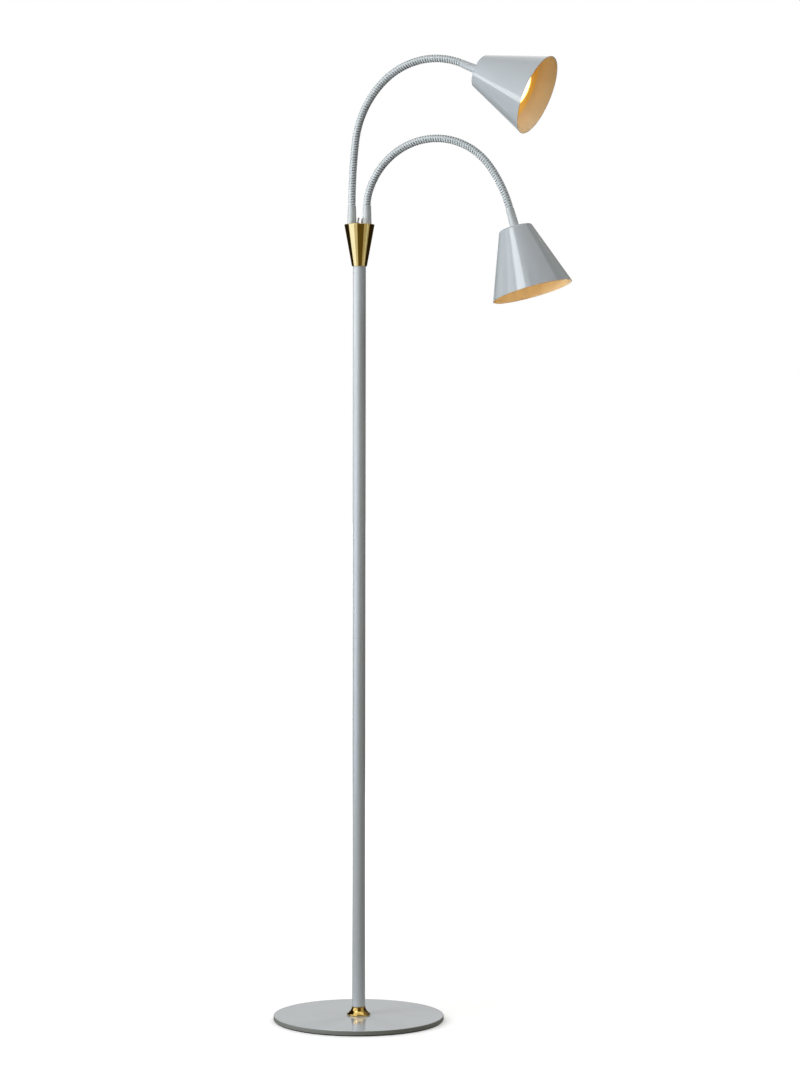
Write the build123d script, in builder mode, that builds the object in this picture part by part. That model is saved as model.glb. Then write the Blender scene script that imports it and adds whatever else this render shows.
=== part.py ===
from build123d import *
import math
import os

os.makedirs("parts", exist_ok=True)

# Lengths are in millimetres and angles in degrees. The origin is on the floor under the
# stem, +Z is up, and both arms bend out over +X.

# Base
base_diameter = 250
base_thickness = 6.5
base_top_edge = 1.2
base_bottom_edge = 0.5
pad_thickness = 1.5
pad_setback = 2.0

# Collar at the foot of the stem
collar_diameter = 34.5
collar_height = 12.6
collar_bead_height = 2.6
collar_bead_bulge = 0.6
collar_top_wall = 0.5
collar_waist_radius = 11.9
collar_waist_height = 6.5

# Stem
tube_diameter = 19
tube_wall = 1.2
lower_tube_length = 554
upper_tube_length = 550
tube_end_chamfer = 0.3
insert_length = 16
insert_flare = 0.5

# Hollow threaded rod that every joint is drawn up with, its nuts and washer
thread_diameter = 10
thread_bore = 7
thread_chamfer = 0.4
nut_across_flats = 14
nut_thickness = 3
washer_diameter = 22
washer_thickness = 1.2
recess_diameter = 27
recess_headroom = 0.3
base_rod_reach = 14
joint_rod_length = 28
head_rod_length = 21
head_rod_show = 1

# Cord inlet at the back of the stem
inlet_height = 45
inlet_bore = 6.2
inlet_neck_diameter = 8
inlet_flange_diameter = 11.5
inlet_flange_thickness = 1.6
inlet_neck_tail = 1.0

# Brass head: a hollow cone on top of the stem, closed by a cap
cone_height = 61
cone_bottom_diameter = 22
cone_top_diameter = 44.4
cone_wall = 1.6
cone_web = 3
cone_socket_depth = 7
cone_rim_radius = 0.8
cap_thickness = 2
cap_setback = 0.5
cap_ledge = 0.8

# Arms
arm_spacing = 23.6
arm_nut_across_flats = 13
arm_rod_length = 19
ferrule_length = 28
ferrule_wide_diameter = 13.5
ferrule_narrow_diameter = 11.7
ferrule_edge = 0.4
ferrule_thread_depth = 12.5
spigot_length = 9

# Gooseneck hose
rib_count = 84
rib_pitch = 3.83
hose_crest_diameter = 11.2
hose_root_diameter = 9.4
hose_bore = 6.4
rib_flank = 1.1

# Each hose rises, arches over and falls. The fall takes up what is left of the hose, so
# it has a radius only.
upper_rise_radius = 777
upper_rise_turn = 6.9
upper_arch_radius = 139.6
upper_arch_turn = 39
upper_fall_radius = 112.6
lower_rise_radius = 60
lower_rise_turn = 15.4
lower_arch_radius = 105.6
lower_arch_turn = 128.4
lower_fall_radius = 197.6

# Shades
shade_length = 95.8
shade_top_diameter = 47.5
shade_mouth_diameter = 117.2
shade_wall = 1.0
shade_shoulder_radius = 4

# Lampholder and reflector lamp
holder_diameter = 25
holder_length = 16
holder_face_diameter = 21
holder_face_length = 4
holder_thread_depth = 4
pin_spacing = 10
pin_diameter = 4.8
pin_length = 6.5
lamp_length = 52
lamp_neck_diameter = 20
lamp_neck_length = 10
lamp_face_diameter = 50
lamp_rim_height = 5
lamp_glass = 1.5
lamp_bulge = 1.5
lens_diameter = 46
lens_thickness = 2
lens_setback = 0.6

# Toggle switches on the cap, front and back
switch_spacing = 15
switch_width = 7.5
switch_depth = 9.5
switch_height = 9
switch_corner = 0.6
bushing_diameter = 6
bushing_height = 2.6
bushing_bore = 3.8
bushing_bore_depth = 6
ring_nut_diameter = 8.4
ring_nut_thickness = 1.4
toggle_lean = 12
toggle_pivot_drop = 1.4
toggle_reach = 9.2
toggle_ball_diameter = 3.0
toggle_root_diameter = 1.7
toggle_tip_diameter = 2.6

# Fits
fit_gap = 0.05
hole_gap = 0.2
running_gap = 0.1
thread_end_gap = 0.5

# Heights that follow from the sizes above
plate_bottom_z = pad_thickness
plate_top_z = plate_bottom_z + base_thickness
tube_joint_z = plate_top_z + lower_tube_length
tube_top_z = tube_joint_z + upper_tube_length
cone_bottom_z = tube_top_z - cone_socket_depth
cone_top_z = cone_bottom_z + cone_height
cone_floor_z = tube_top_z + cone_web
cap_top_z = cone_top_z - cap_setback
cap_bottom_z = cap_top_z - cap_thickness
hose_start_z = cap_top_z + ferrule_length

tube_radius = tube_diameter / 2
tube_inner_radius = tube_radius - tube_wall
thread_radius = thread_diameter / 2
thread_hole_radius = thread_radius + fit_gap
cone_slope = (cone_top_diameter - cone_bottom_diameter) / 2 / cone_height
up = Vector(0, 0, 1)
down = Vector(0, 0, -1)
across = Vector(0, 1, 0)


def save(name, label):
    """Label the finished piece and write it."""
    name.part.label = label
    export_step(name.part, f"parts/{label}.step")


def lathe(point, direction):
    """Sketch plane through the axis of a turned piece: x is its radius, y runs along it."""
    return Plane(origin=point, x_dir=across, z_dir=across.cross(direction))


def end_plane(point, direction):
    """Sketch plane square to the axis of a turned piece."""
    return Plane(origin=point, x_dir=across, z_dir=direction)


def cone_radius(height):
    """Outer radius of the brass cone at a height."""
    return cone_bottom_diameter / 2 + cone_slope * (height - cone_bottom_z)


def threaded_rod(point, direction, length):
    """Hollow rod from the point along the direction, its ends chamfered."""
    with BuildPart() as rod:
        with BuildSketch(end_plane(point, direction)):
            Circle(thread_radius)
            Circle(thread_bore / 2, mode=Mode.SUBTRACT)
        extrude(amount=length)
        rims = rod.edges().filter_by(GeomType.CIRCLE).group_by(SortBy.RADIUS)[-1]
        chamfer(rims, thread_chamfer)
    return rod


def hex_nuts(points, direction, across_flats):
    """Equal nuts, each on its own point, with flats square to X."""
    with BuildPart() as nuts:
        for point in points:
            with BuildSketch(end_plane(point, direction)):
                RegularPolygon(across_flats / 2, 6, major_radius=False)
                Circle(thread_hole_radius, mode=Mode.SUBTRACT)
        extrude(amount=nut_thickness)
    return nuts


def tube_insert(height):
    """Plug pressed into a tube's end, bored for the threaded rod, from a height upwards."""
    outer = tube_inner_radius - fit_gap
    with BuildPart() as insert:
        with BuildSketch(Plane.XY.offset(height)):
            Circle(outer)
            Circle(thread_hole_radius, mode=Mode.SUBTRACT)
        extrude(amount=insert_length)
        rims = insert.edges().filter_by(GeomType.CIRCLE).group_by(SortBy.RADIUS)[-1]
        chamfer(rims, insert_flare)
    return insert


def tube(height, length, joint_face):
    """Stem tube with a fine chamfer on the end where the two tubes meet."""
    with BuildPart() as stem:
        with BuildSketch(Plane.XY.offset(height)):
            Circle(tube_radius)
            Circle(tube_inner_radius, mode=Mode.SUBTRACT)
        extrude(amount=length)
        ends = stem.faces().filter_by(Axis.Z).sort_by(Axis.Z)
        rims = ends[joint_face].edges().sort_by(SortBy.RADIUS)
        chamfer(rims[-1], tube_end_chamfer)
    return stem


# ---------------------------------------------------------------- base and stem

with BuildPart() as base_pad:
    with BuildSketch():
        Circle(base_diameter / 2 - pad_setback)
    extrude(amount=pad_thickness)
save(base_pad, "base_pad")

recess_depth = washer_thickness + nut_thickness + recess_headroom
with BuildPart() as base_plate:
    with BuildSketch(Plane.XY.offset(plate_bottom_z)):
        Circle(base_diameter / 2)
        Circle(thread_radius + hole_gap, mode=Mode.SUBTRACT)
    extrude(amount=base_thickness)
    faces = base_plate.faces().filter_by(Axis.Z).sort_by(Axis.Z)
    fillet(faces[-1].edges().sort_by(SortBy.RADIUS)[-1], base_top_edge)
    chamfer(faces[0].edges().sort_by(SortBy.RADIUS)[-1], base_bottom_edge)
    with BuildSketch(Plane.XY.offset(plate_bottom_z)):
        Circle(recess_diameter / 2)
    extrude(amount=recess_depth, mode=Mode.SUBTRACT)
save(base_plate, "base_plate")

washer_top_z = plate_bottom_z + recess_depth
washer_bottom_z = washer_top_z - washer_thickness
with BuildPart() as base_washer:
    with BuildSketch(Plane.XY.offset(washer_bottom_z)):
        Circle(washer_diameter / 2)
        Circle(thread_hole_radius, mode=Mode.SUBTRACT)
    extrude(amount=washer_thickness)
save(base_washer, "base_washer")

base_nut_z = washer_bottom_z - nut_thickness
save(hex_nuts([(0, 0, base_nut_z)], up, nut_across_flats), "base_nut")

base_rod_length = plate_top_z + base_rod_reach - base_nut_z
save(threaded_rod((0, 0, base_nut_z), up, base_rod_length), "base_rod")

# The collar is turned in one piece: a rounded bead on the plate, then a hollow flare up
# to a thin edge round the tube.
collar_bore_radius = tube_radius + fit_gap
bead_radius = collar_diameter / 2 - collar_bead_bulge
with BuildPart() as base_collar:
    with BuildSketch(lathe((0, 0, plate_top_z), up)):
        with BuildLine():
            bead = ThreePointArc(
                (bead_radius, 0),
                (bead_radius + collar_bead_bulge, collar_bead_height / 2),
                (bead_radius, collar_bead_height),
            )
            flare = ThreePointArc(
                bead @ 1,
                (collar_waist_radius, collar_waist_height),
                (collar_bore_radius + collar_top_wall, collar_height),
            )
            Polyline(
                flare @ 1,
                (collar_bore_radius, collar_height),
                (collar_bore_radius, 0),
                bead @ 0,
            )
        make_face()
    revolve(axis=Axis.Z)
save(base_collar, "base_collar")

with BuildPart() as lower_tube:
    add(tube(plate_top_z, lower_tube_length, -1).part)
    with BuildSketch(Plane.XZ.offset(-tube_radius)):
        with Locations((0, inlet_height)):
            Circle(inlet_neck_diameter / 2)
    extrude(amount=tube_radius, mode=Mode.SUBTRACT)
save(lower_tube, "lower_tube")
save(tube_insert(plate_top_z), "lower_tube_foot")
save(tube_insert(tube_joint_z - insert_length), "lower_tube_plug")

# The inlet is a rubber bush: a saddle flange outside the tube and a neck through its wall.
inlet_centre = Plane.XZ.offset(-tube_inner_radius + inlet_neck_tail)
neck_length = tube_wall + inlet_neck_tail + inlet_flange_thickness
with BuildPart() as cord_inlet:
    with BuildSketch(inlet_centre):
        with Locations((0, inlet_height)):
            Circle(inlet_flange_diameter / 2)
    extrude(amount=-neck_length)
    with BuildSketch(Plane.XY.offset(inlet_height)):
        Circle(tube_radius + fit_gap)
    extrude(amount=inlet_flange_diameter, both=True, mode=Mode.SUBTRACT)
    with BuildSketch(inlet_centre):
        with Locations((0, inlet_height)):
            Circle(inlet_neck_diameter / 2 - fit_gap)
    extrude(amount=-neck_length)
    with BuildSketch(inlet_centre):
        with Locations((0, inlet_height)):
            Circle(inlet_bore / 2)
    extrude(amount=-neck_length, mode=Mode.SUBTRACT)
save(cord_inlet, "cord_inlet")

joint_rod_z = tube_joint_z - joint_rod_length / 2
save(threaded_rod((0, 0, joint_rod_z), up, joint_rod_length), "joint_rod")

save(tube(tube_joint_z, upper_tube_length, 0), "upper_tube")
save(tube_insert(tube_joint_z), "upper_tube_foot")
save(tube_insert(tube_top_z - insert_length), "upper_tube_head")

# ---------------------------------------------------------------- brass head

head_nut_z = cone_floor_z
head_rod_top_z = head_nut_z + nut_thickness + head_rod_show
head_rod_z = head_rod_top_z - head_rod_length
save(threaded_rod((0, 0, head_rod_z), up, head_rod_length), "head_rod")
save(hex_nuts([(0, 0, head_nut_z)], up, nut_across_flats), "head_nut")

cap_seat_radius = cone_radius(cap_bottom_z) - cone_wall + cap_ledge
socket_radius = tube_radius + fit_gap
with BuildPart() as head_cone:
    with BuildSketch(lathe((0, 0, 0), up)):
        with BuildLine():
            Polyline(
                (socket_radius, cone_bottom_z),
                (cone_radius(cone_bottom_z), cone_bottom_z),
                (cone_radius(cone_top_z), cone_top_z),
                (cap_seat_radius, cone_top_z),
                (cap_seat_radius, cap_bottom_z),
                (cone_radius(cap_bottom_z) - cone_wall, cap_bottom_z),
                (cone_radius(cone_floor_z) - cone_wall, cone_floor_z),
                (thread_radius + hole_gap, cone_floor_z),
                (thread_radius + hole_gap, tube_top_z),
                (socket_radius, tube_top_z),
                close=True,
            )
        make_face()
    revolve(axis=Axis.Z)
    rim = head_cone.faces().filter_by(Axis.Z).sort_by(Axis.Z)[-1]
    fillet(rim.edges().sort_by(SortBy.RADIUS)[-1], cone_rim_radius)
save(head_cone, "head_cone")

arm_x = {"upper": -arm_spacing / 2, "lower": arm_spacing / 2}
switch_y = {"front": -switch_spacing / 2, "back": switch_spacing / 2}
with BuildPart() as cone_cap:
    with BuildSketch(Plane.XY.offset(cap_bottom_z)):
        Circle(cap_seat_radius - fit_gap)
        with Locations(*[(x, 0) for x in arm_x.values()]):
            Circle(thread_radius + hole_gap, mode=Mode.SUBTRACT)
        with Locations(*[(0, y) for y in switch_y.values()]):
            Circle(bushing_diameter / 2 + fit_gap, mode=Mode.SUBTRACT)
    extrude(amount=cap_thickness)
save(cone_cap, "cone_cap")

arm_nut_z = cap_bottom_z - nut_thickness
save(hex_nuts([(x, 0, arm_nut_z) for x in arm_x.values()], up, arm_nut_across_flats), "arm_nuts")

# ---------------------------------------------------------------- switches

bushing_top_z = cap_top_z + bushing_height
toggle_pivot_z = bushing_top_z - toggle_pivot_drop
with BuildPart() as ring_nuts:
    with BuildSketch(Plane.XY.offset(cap_top_z)):
        with Locations(*[(0, y) for y in switch_y.values()]):
            Circle(ring_nut_diameter / 2)
            Circle(bushing_diameter / 2 + fit_gap, mode=Mode.SUBTRACT)
    extrude(amount=ring_nut_thickness)
save(ring_nuts, "switch_nuts")

for side, y in switch_y.items():
    with BuildPart() as switch:
        with BuildSketch(Plane.XY.offset(cap_bottom_z)):
            with Locations((0, y)):
                Rectangle(switch_width, switch_depth)
        extrude(amount=-switch_height)
        chamfer(switch.edges().filter_by(Axis.Z), switch_corner)
        with BuildSketch(Plane.XY.offset(cap_bottom_z)):
            with Locations((0, y)):
                Circle(bushing_diameter / 2)
        extrude(amount=bushing_top_z - cap_bottom_z)
        with BuildSketch(Plane.XY.offset(bushing_top_z)):
            with Locations((0, y)):
                Circle(bushing_bore / 2)
        extrude(amount=-bushing_bore_depth, mode=Mode.SUBTRACT)
    save(switch, f"{side}_switch")

    lean = math.radians(toggle_lean)
    pivot = Vector(0, y, toggle_pivot_z)
    lever_way = Vector(math.sin(lean), 0, math.cos(lean))
    ball = toggle_ball_diameter / 2
    tip = toggle_tip_diameter / 2
    with BuildPart() as toggle:
        with BuildSketch(lathe(pivot, lever_way)):
            with BuildLine():
                CenterArc((0, 0), ball, -90, 90)
                Polyline(
                    (ball, 0),
                    (toggle_root_diameter / 2, ball),
                    (tip, toggle_reach - tip),
                )
                CenterArc((0, toggle_reach - tip), tip, 0, 90)
                Line((0, toggle_reach), (0, -ball))
            make_face()
        revolve(axis=Axis(pivot, lever_way))
    save(toggle, f"{side}_toggle")

# ---------------------------------------------------------------- arms and shades


def ferrule(point, direction):
    """Tapered socket: its wide end seats on the point, its narrow end takes the hose."""
    passage = thread_bore / 2
    hose_seat = hose_root_diameter / 2 + running_gap
    with BuildPart() as socket:
        with BuildSketch(lathe(point, direction)):
            with BuildLine():
                Polyline(
                    (thread_hole_radius, 0),
                    (ferrule_wide_diameter / 2, 0),
                    (ferrule_narrow_diameter / 2, ferrule_length),
                    (hose_seat, ferrule_length),
                    (hose_seat, ferrule_length - spigot_length - fit_gap),
                    (passage, ferrule_length - spigot_length - fit_gap),
                    (passage, ferrule_thread_depth),
                    (thread_hole_radius, ferrule_thread_depth),
                    close=True,
                )
            make_face()
        revolve(axis=Axis(point, direction))
        rims = socket.edges().filter_by(GeomType.CIRCLE)
        chamfer(rims.sort_by(SortBy.RADIUS)[-1], ferrule_edge)
    return socket


def hose_route(x, rise_radius, rise_turn, arch_radius, arch_turn, fall_radius):
    """Centre line of a hose: a straight spigot, three tangent bends, a straight spigot."""
    used = rise_radius * math.radians(rise_turn) + arch_radius * math.radians(arch_turn)
    fall_turn = math.degrees((rib_count * rib_pitch - used) / fall_radius)
    with BuildLine(Plane.XZ) as route:
        foot = Line((x, hose_start_z - spigot_length), (x, hose_start_z))
        rise = JernArc(foot @ 1, foot % 1, rise_radius, -rise_turn)
        arch = JernArc(rise @ 1, rise % 1, arch_radius, -arch_turn)
        fall = JernArc(arch @ 1, arch % 1, fall_radius, -fall_turn)
        Line(fall @ 1, fall @ 1 + (fall % 1) * spigot_length)
    return route.wire()


def hose_section(route, distance):
    """Plane square to the hose at a distance along it, its X axis always across the arm."""
    where = route.position_at(distance, position_mode=PositionMode.LENGTH)
    heading = route.tangent_at(distance, position_mode=PositionMode.LENGTH)
    return end_plane(where, heading)


def gooseneck(route):
    """Ribbed hose with its bore: each rib climbs out of a groove and falls into the next."""
    root = hose_root_diameter / 2
    crest = hose_crest_diameter / 2
    stations = [(0, root), (spigot_length, root)]
    for rib in range(rib_count):
        start = spigot_length + rib * rib_pitch
        end = start + rib_pitch
        stations += [(start + rib_flank, crest), (end - rib_flank, crest), (end, root)]
    stations.append((route.length, root))
    with BuildPart() as hose:
        for distance, radius in stations:
            with BuildSketch(hose_section(route, distance)):
                Circle(radius)
        loft(ruled=True)
        with BuildSketch(hose_section(route, 0)):
            Circle(hose_bore / 2)
        sweep(path=route, mode=Mode.SUBTRACT)
    return hose


def shade(seat, heading):
    """Spun cone, open at the mouth, with a rounded shoulder and a hole for the rod."""
    half_angle = math.atan((shade_mouth_diameter - shade_top_diameter) / 2 / shade_length)
    wall_across = shade_wall / math.cos(half_angle)
    top = shade_top_diameter / 2
    mouth = shade_mouth_diameter / 2
    inner_top = top + shade_wall * math.tan(half_angle) - wall_across
    with BuildPart() as spun:
        with BuildSketch(lathe(seat, heading)) as profile:
            with BuildLine():
                Polyline(
                    (thread_radius + hole_gap, 0),
                    (top, 0),
                    (mouth, shade_length),
                    (mouth - wall_across, shade_length),
                    (inner_top, shade_wall),
                    (thread_radius + hole_gap, shade_wall),
                    close=True,
                )
            make_face()
            corners = profile.vertices()
            inner_radius = shade_shoulder_radius - shade_wall
            fillet(corners.sort_by_distance((inner_top, shade_wall, 0))[0], inner_radius)
            corners = profile.vertices()
            fillet(corners.sort_by_distance((top, 0, 0))[0], shade_shoulder_radius)
        revolve(axis=Axis(seat, heading))
    return spun


def lampholder(seat, heading):
    """Ceramic holder screwed on the rod, with two holes for the lamp's pins."""
    face = holder_length - holder_face_length
    with BuildPart() as holder:
        with BuildSketch(lathe(seat, heading)):
            with BuildLine():
                Polyline(
                    (thread_hole_radius, 0),
                    (holder_diameter / 2, 0),
                    (holder_diameter / 2, face),
                    (holder_face_diameter / 2, holder_length),
                    (0, holder_length),
                    (0, holder_thread_depth),
                    (thread_hole_radius, holder_thread_depth),
                    close=True,
                )
            make_face()
        revolve(axis=Axis(seat, heading))
        with BuildSketch(end_plane(seat + heading * holder_length, heading)):
            with Locations((-pin_spacing / 2, 0), (pin_spacing / 2, 0)):
                Circle(pin_diameter / 2 + hole_gap)
        extrude(amount=-pin_length - hole_gap, mode=Mode.SUBTRACT)
    return holder


def reflector_lamp(seat, heading):
    """Glass bowl on a neck with two pins, open at the face for its lens."""
    neck = lamp_neck_diameter / 2
    face = lamp_face_diameter / 2
    rim = lamp_length - lamp_rim_height
    lens_seat = lens_diameter / 2 + fit_gap
    lens_floor = lamp_length - lens_setback - lens_thickness
    inner_floor = (neck - lamp_glass, lamp_neck_length + lamp_glass)
    outer_belly = ((neck + face) / 2 + lamp_bulge, (lamp_neck_length + rim) / 2 - lamp_bulge)
    inner_belly = (outer_belly[0] - lamp_glass, outer_belly[1] + lamp_glass / 2)
    with BuildPart() as bowl:
        with BuildSketch(lathe(seat, heading)):
            with BuildLine():
                Polyline((0, 0), (neck, 0), (neck, lamp_neck_length))
                ThreePointArc((neck, lamp_neck_length), outer_belly, (face, rim))
                Polyline(
                    (face, rim),
                    (face, lamp_length),
                    (lens_seat, lamp_length),
                    (lens_seat, lens_floor),
                    (lens_seat - lamp_glass, lens_floor),
                )
                ThreePointArc((lens_seat - lamp_glass, lens_floor), inner_belly, inner_floor)
                Polyline(inner_floor, (0, inner_floor[1]), (0, 0))
            make_face()
        revolve(axis=Axis(seat, heading))
        with BuildSketch(end_plane(seat, heading)):
            with Locations((-pin_spacing / 2, 0), (pin_spacing / 2, 0)):
                Circle(pin_diameter / 2)
        extrude(amount=-pin_length)
    return bowl


def lens(seat, heading):
    """Round front lens in the lamp's rim."""
    with BuildPart() as disc:
        with BuildSketch(end_plane(seat + heading * (lamp_length - lens_setback), heading)):
            Circle(lens_diameter / 2)
        extrude(amount=-lens_thickness)
    return disc


routes = {
    "upper": hose_route(
        arm_x["upper"],
        upper_rise_radius,
        upper_rise_turn,
        upper_arch_radius,
        upper_arch_turn,
        upper_fall_radius,
    ),
    "lower": hose_route(
        arm_x["lower"],
        lower_rise_radius,
        lower_rise_turn,
        lower_arch_radius,
        lower_arch_turn,
        lower_fall_radius,
    ),
}
for arm, route in routes.items():
    base_seat = Vector(arm_x[arm], 0, cap_top_z)
    base_rod_end = base_seat + up * (ferrule_thread_depth - thread_end_gap)
    save(threaded_rod(base_rod_end, down, arm_rod_length), f"{arm}_arm_rod")
    save(ferrule(base_seat, up), f"{arm}_base_ferrule")
    save(gooseneck(route), f"{arm}_gooseneck")

    hose_end = route.length - spigot_length
    heading = route.tangent_at(hose_end, position_mode=PositionMode.LENGTH)
    hose_tip = route.position_at(hose_end, position_mode=PositionMode.LENGTH)
    shade_seat = hose_tip + heading * ferrule_length
    save(ferrule(shade_seat, -heading), f"{arm}_head_ferrule")
    save(shade(shade_seat, heading), f"{arm}_shade")

    nut_seat = shade_seat + heading * shade_wall
    holder_seat = nut_seat + heading * nut_thickness
    shade_rod_start = shade_seat - heading * (ferrule_thread_depth - thread_end_gap)
    shade_rod_end = holder_seat + heading * (holder_thread_depth - thread_end_gap)
    shade_rod_length = (shade_rod_end - shade_rod_start).length
    save(threaded_rod(shade_rod_start, heading, shade_rod_length), f"{arm}_shade_rod")
    save(hex_nuts([nut_seat], heading, nut_across_flats), f"{arm}_shade_nut")

    lamp_seat = holder_seat + heading * holder_length
    save(lampholder(holder_seat, heading), f"{arm}_lampholder")
    save(reflector_lamp(lamp_seat, heading), f"{arm}_lamp")
    save(lens(lamp_seat, heading), f"{arm}_lamp_lens")
    lean_out = math.degrees(math.atan2(heading.X, heading.Z))
    print(f"{arm} arm: shade seat {shade_seat}, heading {lean_out:.2f} degrees from up")
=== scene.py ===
"""Models and finishes a two-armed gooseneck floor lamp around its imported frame.

Lengths are in metres and angles in radians. The stem stands on the origin, +Z is up, and
both arms bend out over +X.
"""

import math

import bmesh
import bpy
from bpy.props import FloatProperty, FloatVectorProperty, IntProperty, PointerProperty
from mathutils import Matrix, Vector


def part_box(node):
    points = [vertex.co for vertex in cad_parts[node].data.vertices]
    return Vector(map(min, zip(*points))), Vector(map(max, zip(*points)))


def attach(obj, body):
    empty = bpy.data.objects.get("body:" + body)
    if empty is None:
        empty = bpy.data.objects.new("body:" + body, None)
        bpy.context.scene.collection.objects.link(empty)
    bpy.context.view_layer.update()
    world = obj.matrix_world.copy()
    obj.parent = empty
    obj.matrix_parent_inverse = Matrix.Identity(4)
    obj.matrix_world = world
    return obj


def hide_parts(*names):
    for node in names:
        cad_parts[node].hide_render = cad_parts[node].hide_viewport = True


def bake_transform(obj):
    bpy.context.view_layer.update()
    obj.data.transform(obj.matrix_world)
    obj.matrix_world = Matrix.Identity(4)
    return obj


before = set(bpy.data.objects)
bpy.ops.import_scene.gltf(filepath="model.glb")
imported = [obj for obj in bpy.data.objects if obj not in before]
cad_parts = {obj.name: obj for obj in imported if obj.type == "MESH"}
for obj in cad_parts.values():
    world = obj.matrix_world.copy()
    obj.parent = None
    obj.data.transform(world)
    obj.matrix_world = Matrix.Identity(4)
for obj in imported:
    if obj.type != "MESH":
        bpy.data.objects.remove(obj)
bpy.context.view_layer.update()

bl_info = {
    "name": "Gooseneck Floor Lamp",
    "version": (1, 0, 0),
    "blender": (4, 5, 0),
    "location": "View3D > Sidebar > Floor Lamp",
    "description": "Models and finishes a floor lamp with two goosenecks",
    "category": "Object",
}

ARMS = ("upper", "lower")
SAME_PLACE = 1e-5
CLOSED_END = 20  # how many times narrower the ring is that closes a solid piece
RIB_SIDES = 20
LONGEST_BEND = math.radians(45)  # of one stretch of an arm's curve
DIAGONAL = math.sin(math.radians(45))

CLOUD_SPAN = (0.3, 0.7)  # where most of a noise's values lie
PAINTED_AMBER_EDGE = (0.0700, 0.0712)  # heights in a shade between which the painted amber light ends
GROOVE_SHADE_EDGE = (0.15, 0.60)  # depths between which the painted shade in the grooves deepens
FILM_GLOW = 1.4
MIX_A, MIX_B, MIX_RESULT = 6, 7, 2  # colour sockets of a Mix node

CAMERA_BEARING = 21.5
LIGHT_TARGET = (0.15, 0, 1.15)
FLOOR_SIZE = 60
FLOOR_DROP = 0.0002
FLOOR_REACH = (0.25, 1.5)  # distances from the stem between which the floor is lifted
FLOOR_LIFT = (0.32, 0.95)  # its lift at those distances
FLOOR_MIRRORED = 0.3  # share of the lift that shows in reflections
FLOOR_BOUNCE = (0.07, 0.07, 0.055, 1)  # floor's colour to all but the camera
FLOOR_SEEN = (0.8, 0.8, 0.8, 1)
WHITE = (1, 1, 1, 1)
WARM_SKY = (1.0, 0.985, 0.93, 1)
COOL, PLAIN = (0.95, 1.0, 1.05), (1.0, 1.0, 0.97)
DARK = (0.02, 0.014, 0.004)

# Azimuth, reach and height; size; power; tone; whether it shows in gloss; spread in degrees.
LIGHTS = {
    "key": ((-47, 2.16, 3.2), (1.05, 1.0), 12.0, COOL, True, 180),
    "side": ((-62, 2.2, 1.2), (1.2, 1.8), 33.0, COOL, False, 180),
    "low": ((-78, 2.2, 0.3), (1.0, 0.4), 2.2, PLAIN, False, 46),
    "right": ((62, 1.3, 1.6), (0.5, 0.5), 2.5, COOL, False, 180),
    "back_right": ((138, 2.3, 2.1), (1.0, 1.4), 24.0, PLAIN, False, 180),
    "back_left": ((-150, 2.4, 1.7), (1.0, 1.8), 24.0, PLAIN, False, 180),
}
# First and last azimuth, lower and upper end, glow, reach.
CARDS = {
    "back_panel": (-197, -163, -0.1, 1.4, (0.48, 0.485, 0.49), 3.1),
    "left_flag": (-165, -90, -0.1, 5.0, DARK, 3.0),
    "left_band": (-97, -79, 1.08, 1.6, (3.2, 3.2, 3.2), 2.8),
    "left_panel": (-91, -42, -0.1, 0.84, (1.13, 1.3, 1.9), 2.9),
    "left_inner_panel": (-44, -17, -0.1, 0.84, (0.66, 0.66, 0.68), 3.0),
    "front_flag": (-19, 37, -0.1, 5.0, (0.10, 0.075, 0.018), 2.9),
    "right_panel": (36, 86, -0.1, 5.0, (0.437, 0.40, 0.33), 3.0),
    "right_flag": (84, 165, -0.1, 1.7, DARK, 2.9),
    "right_upper_panel": (84, 165, 1.7, 5.0, (0.19, 0.175, 0.15), 2.9),
}

# Roughness, and the grain in features a metre.
PLATED = {"zinc": (0.32, 900.0), "chrome": (0.18, 400.0)}
# Roughness, the grain in features a metre, and its depth.
MOULDED = {
    "foam": (0.9, 1600.0, 0.0002),
    "rubber": (0.6, 2500.0, 0.00003),
    "plastic": (0.45, 2200.0, 0.00002),
    "ceramic": (0.25, 300.0, 0.00002),
}
# Finishes of the frame's own nodes that stay in sight; the others that stay are zinc.
KEPT_NODES = {
    "base_pad": "foam",
    "cord_inlet": "rubber",
    "cone_cap": "cap_brass",
    "front_switch": "plastic",
    "back_switch": "plastic",
    "upper_lampholder": "ceramic",
    "lower_lampholder": "ceramic",
}
FINISHES = {}


# ---------- frame


def bottom_z(node):
    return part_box(node)[0].z


def top_z(node):
    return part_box(node)[1].z


def ends_z(node):
    return bottom_z(node), top_z(node)


def across(node):
    """Diameter of an upright round node."""
    low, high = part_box(node)
    return high.y - low.y


def middle(node):
    low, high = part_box(node)
    return (low + high) / 2


# ---------- settings


def length(name, description, default):
    return FloatProperty(
        name=name, description=description, default=default, unit="LENGTH", precision=5
    )


def angle(name, description, degrees):
    return FloatProperty(
        name=name, description=description, default=math.radians(degrees), subtype="ANGLE"
    )


def number(name, description, default, **limits):
    return FloatProperty(name=name, description=description, default=default, **limits)


def count(name, description, default):
    return IntProperty(name=name, description=description, default=default, min=3)


def colour(name, description, default):
    return FloatVectorProperty(
        name=name, description=description, default=default, min=0.0, max=1.0, subtype="COLOR"
    )


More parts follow.
